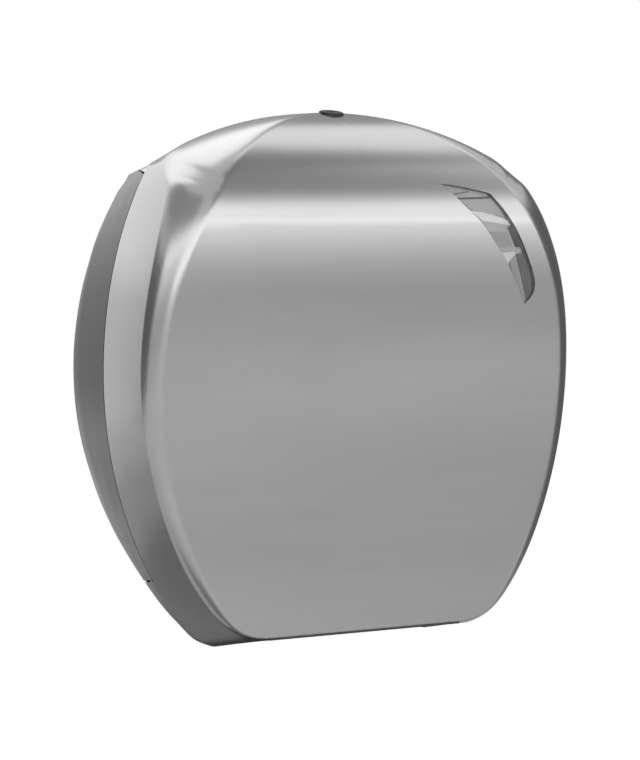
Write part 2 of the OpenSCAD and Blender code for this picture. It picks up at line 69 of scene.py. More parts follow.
# Depth of the face at the foot, where it is fullest and at the crown, the two heights
# between which it swells, and the power of the curve above them
FOOT_D, FULL_D, CREST_D = 128.6, 143.8, 75.0
BELLY, BROW, BROW_E = 83.0, 269.0, 1.8

# How far the face's edge lies in from the outline; on the shell's inside a share of the
# wall comes off, down to a least value
EDGE_IN = [(0, 1.5), (30, 1.8), (51, 5.1), (67, 8.7), (80, 10.4), (90, 11.6), (100, 13.6),
           (108, 17.7), (116, 23.2), (122, 23.7), (134, 23.6), (142, 23), (148, 22.6),
           (153.5, 21.8), (156, 20.2), (158.5, 17.5), (161, 14.2), (165, 9.3), (170, 4.4),
           (175, 1.5), (180, 0)]
INNER_EDGE_SHARE, INNER_EDGE_MIN = 0.7, 0.3

# Depth at which the shoulder begins to round over
ROUND_FROM = [(0, 122), (51, 123), (67, 123), (90, 125), (100, 127), (105, 126), (110, 121),
              (114, 112), (120, 95), (130, 82), (140, 78), (150, 75), (180, 60)]

# Drop of the foot at the wall, the share of it by heading, and the bulge of the corners
FOOT_SINK = 19.5
SINK = [(0, 1), (20, 0.92), (30, 0.82), (40, 0.72), (51, 0.7), (80, 0.72), (90, 0.54),
        (100, 0.19), (110, 0), (180, 0)]
LOBE, LOBE_END, LOBE_E = 4.5, 40.0, 0.65

# The flank's step in at the wall, and the depth of its knee. A share of the step is left
# at the knee and at MID_D, and none at the seam.
STEP_IN = [(0, 14.5), (40, 15), (51, 16), (57, 15.6), (62.5, 14.2), (67.5, 12), (71, 10.2),
           (74.5, 8.2), (78, 6.6), (84, 3.4), (88, 1.9), (94, 1.2), (101, 2.8), (104, 4.2),
           (107.5, 6), (110.5, 9), (114, 13), (120, 17.4), (127, 17), (134, 14.5),
           (142, 13.3), (150, 13.5), (160, 10.5), (170, 4.3), (175, 1.6), (180, 0)]
KNEE_D = [(51, 24), (70, 20), (90, 10), (100, 7), (180, 7)]
KNEE_IN, MID_D, MID_IN, SEAM_D = 0.45, 38.0, 0.16, 60.5

# Headings between which the bends give way to the leaning crown, and how far they are rounded
LEAN_FROM, LEAN_TO, BEND_REACH = 126.0, 142.0, 2.5


def smooth_table(table, x):
    """Cubic Hermite curve through the table's rows: slopes are the neighbours' secants."""
    xk, yk = np.array(table, float).T
    x = np.clip(np.asarray(x, float), xk[0], xk[-1])
    m = np.empty_like(yk)
    m[1:-1] = (yk[2:] - yk[:-2]) / (xk[2:] - xk[:-2])
    m[0] = (yk[1] - yk[0]) / (xk[1] - xk[0])
    m[-1] = (yk[-1] - yk[-2]) / (xk[-1] - xk[-2])
    i = np.clip(np.searchsorted(xk, x, side="right") - 1, 0, len(xk) - 2)
    w = xk[i + 1] - xk[i]
    u = (x - xk[i]) / w
    v = 1 - u
    return (yk[i] * v * v * (1 + 2 * u) + yk[i + 1] * u * u * (3 - 2 * u)
            + w * (m[i] * u * v * v - m[i + 1] * u * u * v))


def outline():
    """The chain of arcs by heading, x' = R cos h and z' = R sin h, softened along its length.

    The foot's flat part makes up the width, one arc closes the crown at x = 0, and the heights
    are scaled to HEIGHT. Points and headings are then averaged over SOFT_REACH to either side,
    so that one arc passes smoothly into the next.
    """
    grid = np.linspace(0, 180, 20 * 180 + 1)
    h = np.radians(grid)
    radius = np.select([(grid >= a) & (grid < b) for _, a, b in BENDS], [r for r, _, _ in BENDS],
                       1.0)
    mean = (radius[1:] + radius[:-1]) / 2
    x = np.r_[0, np.cumsum(mean * np.diff(np.sin(h)))]
    z = np.r_[0, np.cumsum(mean * -np.diff(np.cos(h)))]
    x += WIDTH / 2 - np.interp(90, grid, x)
    k = np.searchsorted(grid, BENDS[-1][2])
    r = x[k] / np.sin(h[k])
    x[k:] = r * np.sin(h[k:])
    z[k:] = z[k] + r * (np.cos(h[k]) - np.cos(h[k:]))
    z *= HEIGHT / z[-1]
    length = np.r_[0, np.cumsum(np.hypot(np.diff(x), np.diff(z)))]
    even = np.arange(0, length[-1], OUTLINE_STEP)
    n = int(SOFT_REACH / OUTLINE_STEP)
    weights = np.hanning(2 * n + 3)[1:-1]

    def soften(values):
        """Weighted average along the length; beyond the ends the values run on mirrored."""
        padded = np.pad(np.interp(even, length, values), n, "reflect", reflect_type="odd")
        return np.convolve(padded, weights / weights.sum(), "valid")

    return soften(grid), soften(x), soften(z)


HEADING, OUT_X, OUT_Z = outline()
FOOT_FLAT = float(OUT_X[0])


def out_x(h):
    """The outline's distance from the middle plane at a heading."""
    return np.interp(h, HEADING, OUT_X)


def out_z(h):
    """The outline's height at a heading."""
    return np.interp(h, HEADING, OUT_Z)


def face_depth(z, skin=0.0):
    """Cosine rise from belly to brow, then a superellipse of power BROW_E up to the crown."""
    t = np.clip((z - BELLY) / (BROW - BELLY), 0, 1)
    low = FOOT_D - skin + (FULL_D - FOOT_D) * (1 - np.cos(pi * t)) / 2
    v = np.clip((z - BROW) / (HEIGHT - skin - BROW), 0, 1)
    high = CREST_D + (FULL_D - skin - CREST_D) * np.clip(1 - v ** BROW_E, 0, 1) ** (1 / BROW_E)
    return np.where(z < BROW, low, high)


def edge_inset(h, skin):
    """How far the face's edge lies in from the outline, less where the wall's inside is."""
    least = INNER_EDGE_MIN if skin > 0 else 0.0
    return np.maximum(smooth_table(EDGE_IN, h) - INNER_EDGE_SHARE * skin, least)


def bent(h, d):
    """Distance in from the outline on the bent flank: straight lines over the depth, from the
    heading's step b at the wall by KNEE_IN b at the knee and MID_IN b at MID_D to 0 at the
    seam."""
    b, k = smooth_table(STEP_IN, h), smooth_table(KNEE_D, h)
    first = b + (KNEE_IN * b - b) * d / k
    second = KNEE_IN * b + (MID_IN - KNEE_IN) * b * (d - k) / (MID_D - k)
    third = MID_IN * b * np.clip((SEAM_D - d) / (SEAM_D - MID_D), 0, 1)
    return np.where(d < k, first, np.where(d < MID_D, second, third))


def hip(h, d):
    """Distance in from the outline behind the shoulder. The flank's bends are rounded by a
    weighted mean over five depths; the crown leans in a straight line from its shoulder."""
    t = np.clip((h - LEAN_FROM) / (LEAN_TO - LEAN_FROM), 0, 1)
    lean = t * t * (3 - 2 * t)
    reach = np.clip(np.minimum(d, SEAM_D - d) / 2, 0, BEND_REACH)
    soft = sum(w * bent(h, d + k * reach)
               for k, w in ((-2, 1), (-1, 2), (0, 3), (1, 2), (2, 1))) / 9
    straight = smooth_table(STEP_IN, h) * np.maximum(1 - d / smooth_table(ROUND_FROM, h), 0)
    return (1 - lean) * soft + lean * straight


def place(side, h, s, d, shift=0.0):
    """Point s in from the outline at depth d. Lower headings sink in proportion to their
    distance t behind the front face, which slopes the foot down to the wall, and the foot's
    two corners bulge down by LOBE sin^2(pi (h / end)^e) 4t(1 - t)."""
    sh, ch = np.sin(np.radians(h)), np.cos(np.radians(h))
    t = np.clip(1 - d / FOOT_D, 0, 1)
    sunk = (FOOT_SINK * smooth_table(SINK, h) * t
            + LOBE * np.sin(pi * np.clip(h / LOBE_END, 0, 1) ** LOBE_E) ** 2 * 4 * t * (1 - t))
    return np.stack([side * (out_x(h) + shift - s * sh), -d + 0 * s, out_z(h) + s * ch - sunk],
                    -1)


# %% [markdown]
# ## 2. Mesh helpers
#
# Meshes come from whole numpy arrays. `grid_faces` joins rows of points into quads.

# %%
def make_object(name, points, faces):
    """A mesh object from points in millimetres above the foot and any list of faces."""
    p = np.asarray(points, float) * MM
    p[:, 2] -= AXIS_H * MM
    mesh = bpy.data.meshes.new(name)
    mesh.from_pydata(p.tolist(), [], [list(map(int, f)) for f in faces])
    mesh.update()
    obj = bpy.data.objects.new(name, mesh)
    bpy.context.scene.collection.objects.link(obj)
    return obj


def grid_faces(n, m, start=0, wrap=True, flip=False):
    """Quads between n rows of m points; wrap joins the last row to the first again."""
    i, j = np.meshgrid(np.arange(n if wrap else n - 1), np.arange(m - 1), indexing="ij")
    a = start + i * m + j
    b = start + (i + 1) % n * m + j
    quads = np.stack([a, b, b + 1, a + 1], -1).reshape(-1, 4)
    return quads[:, ::-1] if flip else quads


def bake(obj):
    """Replaces the object's mesh by what its modifiers make of it."""
    dg = bpy.context.evaluated_depsgraph_get()
    done = bpy.data.meshes.new_from_object(obj.evaluated_get(dg), depsgraph=dg)
    old = obj.data
    obj.modifiers.clear()
    obj.data = done
    bpy.data.meshes.remove(old)
    return obj


def carve(obj, cutter, how="DIFFERENCE"):
    """Cuts or intersects obj with a closed cutter, which is then removed."""
    mod = obj.modifiers.new("carve", "BOOLEAN")
    mod.operation = how
    mod.solver = "MANIFOLD"
    mod.object = cutter
    bake(obj)
    if not len(obj.data.polygons):
        raise RuntimeError("nothing left of " + obj.name)
    bpy.data.objects.remove(cutter)
    return obj


def smooth(obj, angle):
    """Smooth shading with sharp edges where faces meet at more than the angle."""
    obj.data.polygons.foreach_set("use_smooth", np.ones(len(obj.data.polygons), bool))
    obj.data.set_sharp_from_angle(angle=radians(angle))
    return obj


def prism(name, line, a, b, axis):
    """A closed line of two coordinates drawn from a to b along the axis x, y or z."""
    line = np.asarray(line, float)
    area = np.sum(line[:, 0] * np.roll(line[:, 1], -1) - np.roll(line[:, 0], -1) * line[:, 1])
    if area < 0:
        line = line[::-1]
    n = len(line)
    put = {"x": lambda t: np.c_[np.full(n, t), line], "z": lambda t: np.c_[line, np.full(n, t)],
           "y": lambda t: np.c_[line[:, 0], np.full(n, t), line[:, 1]]}[axis]
    pts = np.r_[put(a), put(b)]
    k = np.arange(n)
    walls = np.stack([k, (k + 1) % n, (k + 1) % n + n, k + n], -1)
    faces = [list(w) for w in walls] + [list(k[::-1]), list(k + n)]
    if axis == "y":
        faces = [f[::-1] for f in faces]
    if b < a:
        faces = [f[::-1] for f in faces]
    return make_object(name, pts, faces)


def block(name, low, high):
    """A box between two corners."""
    return prism(name, [(low[0], low[1]), (high[0], low[1]), (high[0], high[1]),
                        (low[0], high[1])], low[2], high[2], "z")


def round_line(line, sharp, n=8):
    """Catmull-Rom curve through a closed line; the corners in sharp stay corners."""
    line = np.asarray(line, float)
    m = len(line)
    out = []
    for i in range(m):
        p0, p1, p2, p3 = (line[(i + k) % m] for k in (-1, 0, 1, 2))
        t1 = (p2 - p1) if i in sharp else (p2 - p0) / 2
        t2 = (p2 - p1) if (i + 1) % m in sharp else (p3 - p1) / 2
        reach = np.linalg.norm(p2 - p1)
        t1 = t1 / np.linalg.norm(t1) * reach
        t2 = t2 / np.linalg.norm(t2) * reach
        u = np.linspace(0, 1, n, endpoint=False)[:, None]
        v = 1 - u
        out.append(p1 * v * v * (1 + 2 * u) + p2 * u * u * (3 - 2 * u)
                   + t1 * u * v * v - t2 * u * u * v)
    return np.concatenate(out)


def grow(line, by):
    """The closed line moved out by so much along its own normals."""
    line = np.asarray(line, float)
    area = np.sum(line[:, 0] * np.roll(line[:, 1], -1) - np.roll(line[:, 0], -1) * line[:, 1])
    t = np.roll(line, -1, 0) - np.roll(line, 1, 0)
    t /= np.linalg.norm(t, axis=1)[:, None]
    return line + np.c_[t[:, 1], -t[:, 0]] * by * (1 if area > 0 else -1)


def turned(name, profile, where, n=64):
    """A solid turned about z from (radius, height) rows, then placed by a 4x4 matrix."""
    radius, height = np.array(profile, float).T
    a = np.linspace(0, 2 * pi, n, endpoint=False)
    pts = np.stack([np.outer(np.cos(a), radius), np.outer(np.sin(a), radius),
                    np.outer(np.ones(n), height), np.ones((n, len(radius)))], -1)
    m = len(radius)
    faces = [list(f) for f in grid_faces(n, m)]
    faces += [list(np.arange(n) * m)[::-1], list(np.arange(n) * m + m - 1)]
    return make_object(name, (pts.reshape(-1, 4) @ np.array(where).T)[:, :3], faces)


# %% [markdown]
# ## 3. The cover's shell
#
# Every station runs from the rear edge along the flank, over the shoulder, across the
# softly rounded crease and over the face to its centre line point.

# %%
# The wall's thickness, and the angles from which an edge is shown sharp
WALL, SHELL_SHARP, PART_SHARP = 2.6, 32, 30

# Where the stations stand: along the foot's flat part and at these headings
FLAT_X = np.linspace(-FOOT_FLAT, FOOT_FLAT, 25)
HEADS = np.unique(np.r_[np.linspace(0, 51, 27), np.linspace(51, 116, 66),
                        np.linspace(116, 180, 97)])

# Depths of the rings on the flank, the part of an ellipse that makes the shoulder, its
# least depth, and the crease's rounding
REAR_D = (0.6, 4, 8, 12, 16, 20, 24, 28, 33, 38, 43, 49, 55, 61)
ARC_FROM, ARC_TO, SHOULDER_MIN = 8, 76, 2.0
FILLET, FILLET_SHARE = 1.5, 0.3

# The face's rays end here, in x and z, and their points crowd towards the crease
CENTRE, CROWDING = (0.0, 176.0), 1.35

# Rings on the shoulder, in the crease and on the face
OUTER_RINGS, INNER_RINGS = (26, 7, 96), (14, 3, 48)


def stations():
    """(side, heading, x shift) round the outline, once, starting at the foot's middle."""
    half = FLAT_X[FLAT_X > 1e-6]
    right = [(1, 0.0, x - FOOT_FLAT) for x in half[:-1]] + [(1, h, 0.0) for h in HEADS]
    left = [(-1, h, 0.0) for h in HEADS[-2::-1]] + [(-1, 0.0, x - FOOT_FLAT)
                                                    for x in half[-2::-1]]
    return np.array([(1, 0.0, -FOOT_FLAT)] + right + left)


def shell_rings(skin, rings):
    """Points (station, ring) of one skin. Ring 0 is the rear edge and the last the centre.

    Shoulder: s = e (cos from - cos a) / (cos from - cos to), d likewise in sin a, for a from
    ARC_FROM to ARC_TO.
    Face: straight rays in x and z from the crease to the centre, at the face's depth.
    Crease: a quadratic curve P (1-u)^2 + A 2u(1-u) + Q u^2 from shoulder to face.
    """
    side, h, shift = stations().T
    e = edge_inset(h, skin)
    far = face_depth(out_z(h) + (skin + e) * np.cos(np.radians(h)), skin)
    near = np.minimum(smooth_table(ROUND_FROM, h), far - SHOULDER_MIN)

    def put(s, d):
        """The stations' points s in from the outline at depth d."""
        return place(side, h, s, d, shift)

    rear = np.stack([put(skin + hip(h, d + 0 * h), d + 0 * h) for d in REAR_D], 1)
    start, end = radians(ARC_FROM), radians(ARC_TO)
    a = np.radians(np.linspace(ARC_FROM, ARC_TO, 49))[None]
    s = skin + e[:, None] * (cos(start) - np.cos(a)) / (cos(start) - cos(end))
    rise = (np.sin(a) - sin(start)) / (sin(end) - sin(start))
    d = near[:, None] + (far - near)[:, None] * rise
    shoulder = np.stack([put(s[:, k], d[:, k]) for k in range(a.shape[1])], 1)
    edge = shoulder[:, -1]
    t = 1 - np.linspace(0, 1, 400)[None, :, None] ** 2
    centre = np.array([CENTRE[0], 0, CENTRE[1]])
    ray = centre + (edge[:, None] - centre) * t
    ray[..., 1] = -face_depth(ray[..., 2], skin)

    def along(line, where):
        """Points of each station's line at the given lengths from its start, and its length."""
        step = np.linalg.norm(np.diff(line, axis=1), axis=2)
        run = np.c_[np.zeros(len(line)), np.cumsum(step, 1)]
        out = np.empty((len(line), where.shape[1], 3))
        for i in range(len(line)):
            for k in range(3):
                out[i, :, k] = np.interp(where[i], run[i], line[i, :, k])
        return out, run[:, -1]

    back = shoulder[:, ::-1]
    full = along(back, np.zeros((len(h), 1)))[1]
    soft = np.minimum(FILLET, full * FILLET_SHARE)
    u = np.linspace(1, 0, rings[0])[None]
    low, _ = along(back, soft[:, None] + (full - soft)[:, None] * u)
    reach = along(ray, np.zeros((len(h), 1)))[1]
    u = np.linspace(0, 1, rings[2])[None] ** CROWDING
    high, _ = along(ray, FILLET + (reach - FILLET)[:, None] * u)
    u = np.linspace(0, 1, rings[1] + 2)[None, 1:-1, None]
    p, q = low[:, -1:], high[:, :1]
    bend = p * (1 - u) ** 2 + edge[:, None] * 2 * u * (1 - u) + q * u * u
    return np.concatenate([rear, low, bend, high], 1)


def closed_shell(name, wall):
    """Outer skin, inner skin and the rear rim between them, as one closed mesh."""
    outer = shell_rings(0.0, OUTER_RINGS)
    inner = shell_rings(wall, INNER_RINGS)
    n = len(outer)
    points, faces, start = [], [], 0
    for skin, flip in ((outer, False), (inner, True)):
        m = skin.shape[1]
        body = skin[:, :-1].reshape(-1, 3)
        points += [body, skin[:1, -1]]
        faces += [list(f) for f in grid_faces(n, m - 1, start, flip=flip)]
        pole = start + n * (m - 1)
        i = np.arange(n)
        last = start + i * (m - 1) + m - 2
        fan = np.stack([last, np.roll(last, -1), np.full(n, pole)], -1)
        faces += [list(f) for f in (fan[:, ::-1] if flip else fan)]
        start = pole + 1
    i = np.arange(n)
    a = i * (outer.shape[1] - 1)
    b = n * (outer.shape[1] - 1) + 1 + i * (inner.shape[1] - 1)
    rim = np.stack([np.roll(a, -1), a, b, np.roll(b, -1)], -1)
    faces += [list(f) for f in rim]
    return make_object(name, np.concatenate(points), faces)


cover = closed_shell("cover_shell", WALL)

# %% [markdown]
# The cover ends at the seam in front of the side panels, and below them at the tray.

# %%
# Heights of the joint's ends at the seam and at the wall, and the tray's depth below it
SEAM_Z, WALL_Z, TRAY_D = (34.0, 304.0), (26.0, 313.6), 7.6

# Places clear of the casing
BELOW, BEHIND, SIDEWAYS = -30, 10, (-200, 200)


def side_area(gap=0.0):
    """What isn't the cover's, in y and z: the panels, less a gap, and the tray."""
    front = gap - SEAM_D
    return [(front, SEAM_Z[0] + gap), (-TRAY_D, WALL_Z[0] + gap), (-TRAY_D, BELOW),
            (BEHIND, BELOW), (BEHIND, WALL_Z[1] - gap), (front, SEAM_Z[1] - gap)]


carve(cover, prism("cut_side", side_area(), *SIDEWAYS, "x"))

# %% [markdown]
# The window's opening is a sickle, in x and z, with corners at both ends of its right edge
# and at its tip.

# %%
WINDOW = [(53.3, 294.6), (57.9, 290.4), (61.7, 287.1), (65, 283.8), (71.9, 277.1), (80, 269.8),
          (85.6, 262.9), (90.5, 256.3), (95.9, 249), (100.4, 242), (104.8, 234.6),
          (109.9, 224.6), (115.1, 214), (118.6, 217.3), (121.3, 221), (122.5, 225.4),
          (122.2, 230.8), (119.2, 239.6), (115.4, 248.8), (112, 256), (106.6, 265.6),
          (98.4, 277.2), (89.7, 287.5), (87.1, 288.6), (81.3, 289.9), (72.1, 291.8),
          (61.3, 293.6)]
TIP, RIGHT_LOW, RIGHT_HIGH = 0, 12, 22
THROUGH_FACE = (-170, -100)
window_line = round_line(WINDOW, {TIP, RIGHT_LOW, RIGHT_HIGH}, 5)


def cut_to(obj, line, how="INTERSECT"):
    """Keeps what lies inside a closed line drawn through the face, or cuts that out."""
    return carve(obj, prism("cutter", line, *THROUGH_FACE, "y"), how)


cut_to(cover, window_line, "DIFFERENCE")

# %% [markdown]
# The outlet and the shelf for its frame lie in the sloping foot, with slots for the tray's
# hinge lugs behind them. The lock stands square on the crown's curve.

# %%
# Two corners each: the outlet itself, and the shelf
OUTLET_CUTS = [((-62, -118.6, -1), (62, -67, 5)), ((-70, -130.6, -1), (70, -62, 1.4))]
LUG_X, LUG_HALF = (-65.9, -54.1, 54.1, 65.9), 2.4
LUG_LOW, LUG_HIGH = (-27.5, -19.5), (0.5, -2.5)

tilt = Matrix.Rotation(-np.arctan(FOOT_SINK / FOOT_D), 4, "X")
pivot = Matrix.Translation((0, -FOOT_D * MM, -AXIS_H * MM))
for low, high in OUTLET_CUTS:
    cutter = block("cut_outlet", low, high)
    cutter.data.transform(pivot @ tilt @ pivot.inverted())
    carve(cover, cutter)
for x in LUG_X:
    carve(cover, block("cut_lug", (x - LUG_HALF, *LUG_LOW), (x + LUG_HALF, *LUG_HIGH)))

# The lock's depth, and its hole as (radius, height) rows from the inside out
LOCK_D = 84.0
LOCK_HOLE = [(6.1, -12), (6.1, -0.8), (8.5, -0.8), (8.5, 5)]
lock_u = (LOCK_D - CREST_D) / (FULL_D - CREST_D)
lock_v = (1 - lock_u ** BROW_E) ** (1 / BROW_E)
lock_slope = (HEIGHT - BROW) / (FULL_D - CREST_D) * (lock_u / lock_v) ** (BROW_E - 1)
at_lock = (Matrix.Translation((0, -LOCK_D, BROW + (HEIGHT - BROW) * lock_v))
           @ Matrix.Rotation(np.arctan(lock_slope), 4, "X"))
carve(cover, turned("cut_lock", LOCK_HOLE, at_lock))
smooth(cover, SHELL_SHARP)
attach(cover, "cover")
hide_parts("front_cover")

# %% [markdown]
# The inside of the cover also needs the two hinge ears, drawn as a plate with a round end.

# %%
HINGE_D, HINGE_H, HINGE_X, PIN_R = 16.0, 2.9, 60.0, 2.56
EAR_R, EAR_HALF, EAR_BASE, BORE_HALF = 5.5, 3.5, -6.59, 5


def ear(name, x):
    """Half-round plate about the hinge axis, standing on the cover's foot, with its bore."""
    a = np.linspace(0, pi, 33)
    line = np.r_[[(-HINGE_D + EAR_R, EAR_BASE)],
                 np.c_[-HINGE_D + EAR_R * np.cos(a), HINGE_H + EAR_R * np.sin(a)],
                 [(-HINGE_D - EAR_R, EAR_BASE)]]
    plate = prism(name, line, x - EAR_HALF, x + EAR_HALF, "x")
    t = np.linspace(0, 2 * pi, 40, endpoint=False)
    bore = np.c_[-HINGE_D + PIN_R * np.cos(t), HINGE_H + PIN_R * np.sin(t)]
    carve(plate, prism("cut_bore", bore, x - BORE_HALF, x + BORE_HALF, "x"))
    smooth(plate, SHELL_SHARP)
    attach(plate, "cover")
    return plate


ears = [ear("cover_ear_left", -HINGE_X), ear("cover_ear_right", HINGE_X)]

# %% [markdown]
# ## 4. Side panels
#
# The panel follows the outline and steps in towards the wall, as `hip` gives.

# %%
SEAM_GAP, PANEL_T, PANEL_REAR = 1.1, 2.4, 0.4
PANEL_FROM, PANEL_TO = 53, 144


def side_panel(name, side):
    """Bent wall from heading PANEL_FROM to PANEL_TO, cut along the joint with the cover."""
    h, d = np.meshgrid(np.linspace(PANEL_FROM, PANEL_TO, 140),
                       np.linspace(PANEL_REAR, SEAM_D - SEAM_GAP, 50), indexing="ij")
    rows = [place(side, h, hip(h, d) + skin, d) for skin in (0.0, PANEL_T)]
    loop = np.concatenate([rows[0], rows[1][:, ::-1]], 1)
    n, m = loop.shape[:2]
    i, j = np.meshgrid(np.arange(n - 1), np.arange(m), indexing="ij")
    a, b = i * m + j, i * m + (j + 1) % m
    quads = np.stack([a, a + m, b + m, b], -1).reshape(-1, 4)
    ends = [list(range(m)), list(range((n - 1) * m, n * m))[::-1]]
    faces = [list(q) for q in quads] + ends
    if side > 0:
        faces = [f[::-1] for f in faces]
    panel = make_object(name, loop.reshape(-1, 3), faces)
    carve(panel, prism("keep_panel", side_area(SEAM_GAP), *SIDEWAYS, "x"), "INTERSECT")
    return smooth(panel, PART_SHARP)


panels = [side_panel("casing_side_left", -1), side_panel("casing_side_right", 1)]
for panel, packed in zip(panels, ("side_panel_left", "side_panel_right")):
    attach(panel, "housing")
    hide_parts(packed)

# %% [markdown]
# ## 5. The smoked window
#
# The pane is a slice of a band that follows the face; its hem is a wider ring behind the
# shell. Through the pane a moulded insert is seen: a back plate and the panels on it, whose
# greys are painted light and shade.

# %%
BAND_X, BAND_LOW, BAND_HIGH = (20, 150), 195, 318

# How far behind the face, or behind the shell, each slice begins and ends
PANE_SLICE, HEM_SLICE, PLATE_SLICE = (0.4, 1.9), (0.12, 1.5), (3.5, 4.5)
PANEL_SLICE, STRIP_SLICE = (2.3, 3.5), (2.1, 3.5)
PANE_GAP, HEM_GAP, HEM_LAP, PLATE_LAP = 0.25, 0.3, 3.2, 2.0


def face_band(name, skin, slice_d):
    """Closed solid between two copies of the face's section, moved back by slice_d."""
    z = np.r_[np.linspace(BAND_LOW, BROW - 1, 60), np.linspace(BROW, BAND_HIGH, 90)]
    y = -face_depth(z, skin)
    line = np.r_[np.c_[y + slice_d[0], z], np.c_[y + slice_d[1], z][::-1]]
    return prism(name, line, *BAND_X, "x")


pane = face_band("window_pane", 0.0, PANE_SLICE)
cut_to(pane, grow(window_line, -PANE_GAP))
hem = face_band("window_hem", WALL, HEM_SLICE)
cut_to(hem, grow(window_line, HEM_LAP))
cut_to(hem, grow(window_line, -HEM_GAP), "DIFFERENCE")

# Pieces of the insert in x and z; the greys they get below paint the light and shade seen
# through the window
INSERT = {"upper": [(65.5, 283.9), (93.5, 284.7), (98.3, 272.1), (74.8, 277.2)],
          "highlight_ledge": [(72.5, 276.9), (88.1, 274.8), (107.3, 267.9), (108.7, 266), (82.5, 269.8)],
          "left": [(84.5, 262.9), (100.7, 262.2), (105.2, 253), (94, 251.8)],
          "highlight_wedge": [(96.5, 248.2), (106, 249.4), (108, 247.6), (101.8, 241)],
          "shaded_pocket": [(102.1, 265.5), (111.3, 266.1), (119, 251.6), (108.3, 252.3)],
          "side": [(103, 244), (108.2, 246.9), (117.7, 214), (112, 214)],
          "long": [(108.8, 247.5), (119, 248.9), (128, 230.6), (126, 219), (118.1, 212)],
          "groove": [(61.5, 285.1), (93.5, 285.9), (94, 284.6), (63, 283.8)],
          "line": [(56.5, 290.8), (61.8, 288), (74, 289.5), (74, 288.8), (61.8, 287.1),
                   (57.3, 290)],
          "cells": [(92.2, 286.4), (97.9, 273), (108, 268.8), (112, 262), (100, 279)]}
EDGE_OUT, EDGE_BACK = (1, 0.4), (1.5, 0.8)
right_edge = np.array(WINDOW[RIGHT_LOW:RIGHT_HIGH + 1])
INSERT["edge"] = np.r_[right_edge + EDGE_OUT, (right_edge - EDGE_BACK)[::-1]]
STRIPS = ("edge", "groove", "line")

insert = {"back": cut_to(face_band("insert_back", 0.0, PLATE_SLICE),
                         grow(window_line, PLATE_LAP))}
for name, line in INSERT.items():
    part = face_band("insert_" + name, 0.0, STRIP_SLICE if name in STRIPS else PANEL_SLICE)
    insert[name] = cut_to(part, line)
for piece in [pane, hem] + list(insert.values()):
    smooth(piece, PART_SHARP)
    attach(piece, "cover")
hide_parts("view_window")

# %% [markdown]
# ## 6. Materials
#
# The brushed grain is a node group that gives a height and two tones. Each material keeps
# its own surface shader.

# %%
def grey(level):
    """A grey of three equal parts."""
    return (level, level, level)


def shade(tone, factor=1):
    """The tone made lighter or darker, as an opaque colour."""
    return tuple(v * factor for v in tone) + (1,)


def node(tree, kind, values=(), links=(), **attrs):
    """A node with attributes, socket values and incoming links given by socket name."""
    n = tree.nodes.new(kind)
    for key, value in attrs.items():
        setattr(n, key, value)
    for key, value in values:
        n.inputs[key].default_value = value
    for key, source in links:
        tree.links.new(source, n.inputs[key])
    return n


def noise(tree, at, scale, detail):
    """Noise over the place `at`; three scales draw it out along the axes."""
    if isinstance(scale, tuple):
        at = node(tree, "ShaderNodeMapping", [("Scale", scale)], [("Vector", at)]).outputs[0]
        scale = 1.0
    return node(tree, "ShaderNodeTexNoise", [("Scale", scale), ("Detail", detail)],
                [("Vector", at)]).outputs["Fac"]


def ramp(tree, source, stops, ease="LINEAR"):
    """Colour ramp over a source; each stop is a place with a grey level or a colour."""
    n = node(tree, "ShaderNodeValToRGB", links=[("Fac", source)])
    bar = n.color_ramp
    bar.interpolation = ease
    while len(bar.elements) < len(stops):
        bar.elements.new(0.5)
    for e, (pos, value) in zip(bar.elements, stops):
        e.position = pos
        e.color = value if isinstance(value, tuple) else shade(grey(value))
    return n.outputs[0]


def mix(tree, a, b, fac, mode="MIX"):
    """Blend of two colours; a, b and fac are sockets or plain values."""
    n = tree.nodes.new("ShaderNodeMix")
    n.data_type, n.blend_type = "RGBA", mode
    for key, v in ((0, fac), (6, a), (7, b)):
        if hasattr(v, "links"):
            tree.links.new(v, n.inputs[key])
        else:
            n.inputs[key].default_value = v
    return n.outputs[2]


def bump(tree, shader, height, strength, distance):
    """Lets a height texture drive the shader's normal."""
    n = node(tree, "ShaderNodeBump", [("Strength", strength), ("Distance", distance)],
             [("Height", height)])
    tree.links.new(n.outputs[0], shader.inputs["Normal"])


def new_material(name):
    """A material, its node tree and its surface shader."""
    m = bpy.data.materials.new(name)
    m.use_nodes = True
    return m, m.node_tree, m.node_tree.nodes["Principled BSDF"]


def object_place(tree):
    """The texture place in the object's own metres."""
    return node(tree, "ShaderNodeTexCoord").outputs["Object"]


def grain_group():
    """Fine brushed grain drawn out along x, broad soft mottling and long streaks."""
    t = bpy.data.node_groups.new("brushed_grain", "ShaderNodeTree")
    layers = {"Height": ((60, 60, 2600), 3.0), "Tone": ((4, 4, 22), 4.0),
              "Streak": ((9, 9, 420), 2.0)}
    for label in layers:
        t.interface.new_socket(label, in_out="OUTPUT", socket_type="NodeSocketFloat")
    out = t.nodes.new("NodeGroupOutput")
    at = object_place(t)
    for label, (scale, detail) in layers.items():
        t.links.new(noise(t, at, scale, detail), out.inputs[label])
    return t


GRAIN = grain_group()


def metal(name, tone, rough, grain):
    """Brushed metal: grain drives bump, roughness and a slight change of tone."""
    m, t, shader = new_material(name)
    g = node(t, "ShaderNodeGroup", node_tree=GRAIN).outputs
    base = ramp(t, g["Tone"], [(0.3, shade(tone, 0.95)), (0.7, shade(tone, 1.05))])
    streak = ramp(t, g["Streak"], [(0.25, 0.92), (0.75, 1.0)])
    t.links.new(mix(t, base, streak, 0.5 * grain, "MULTIPLY"), shader.inputs["Base Color"])
    dull = ramp(t, g["Height"], [(0.2, rough - 0.03 * grain), (0.8, rough + 0.04 * grain)])
    t.links.new(dull, shader.inputs["Roughness"])
    bump(t, shader, g["Height"], 0.12 * grain, 0.00012)
    shader.inputs["Metallic"].default_value = 1.0
    return m


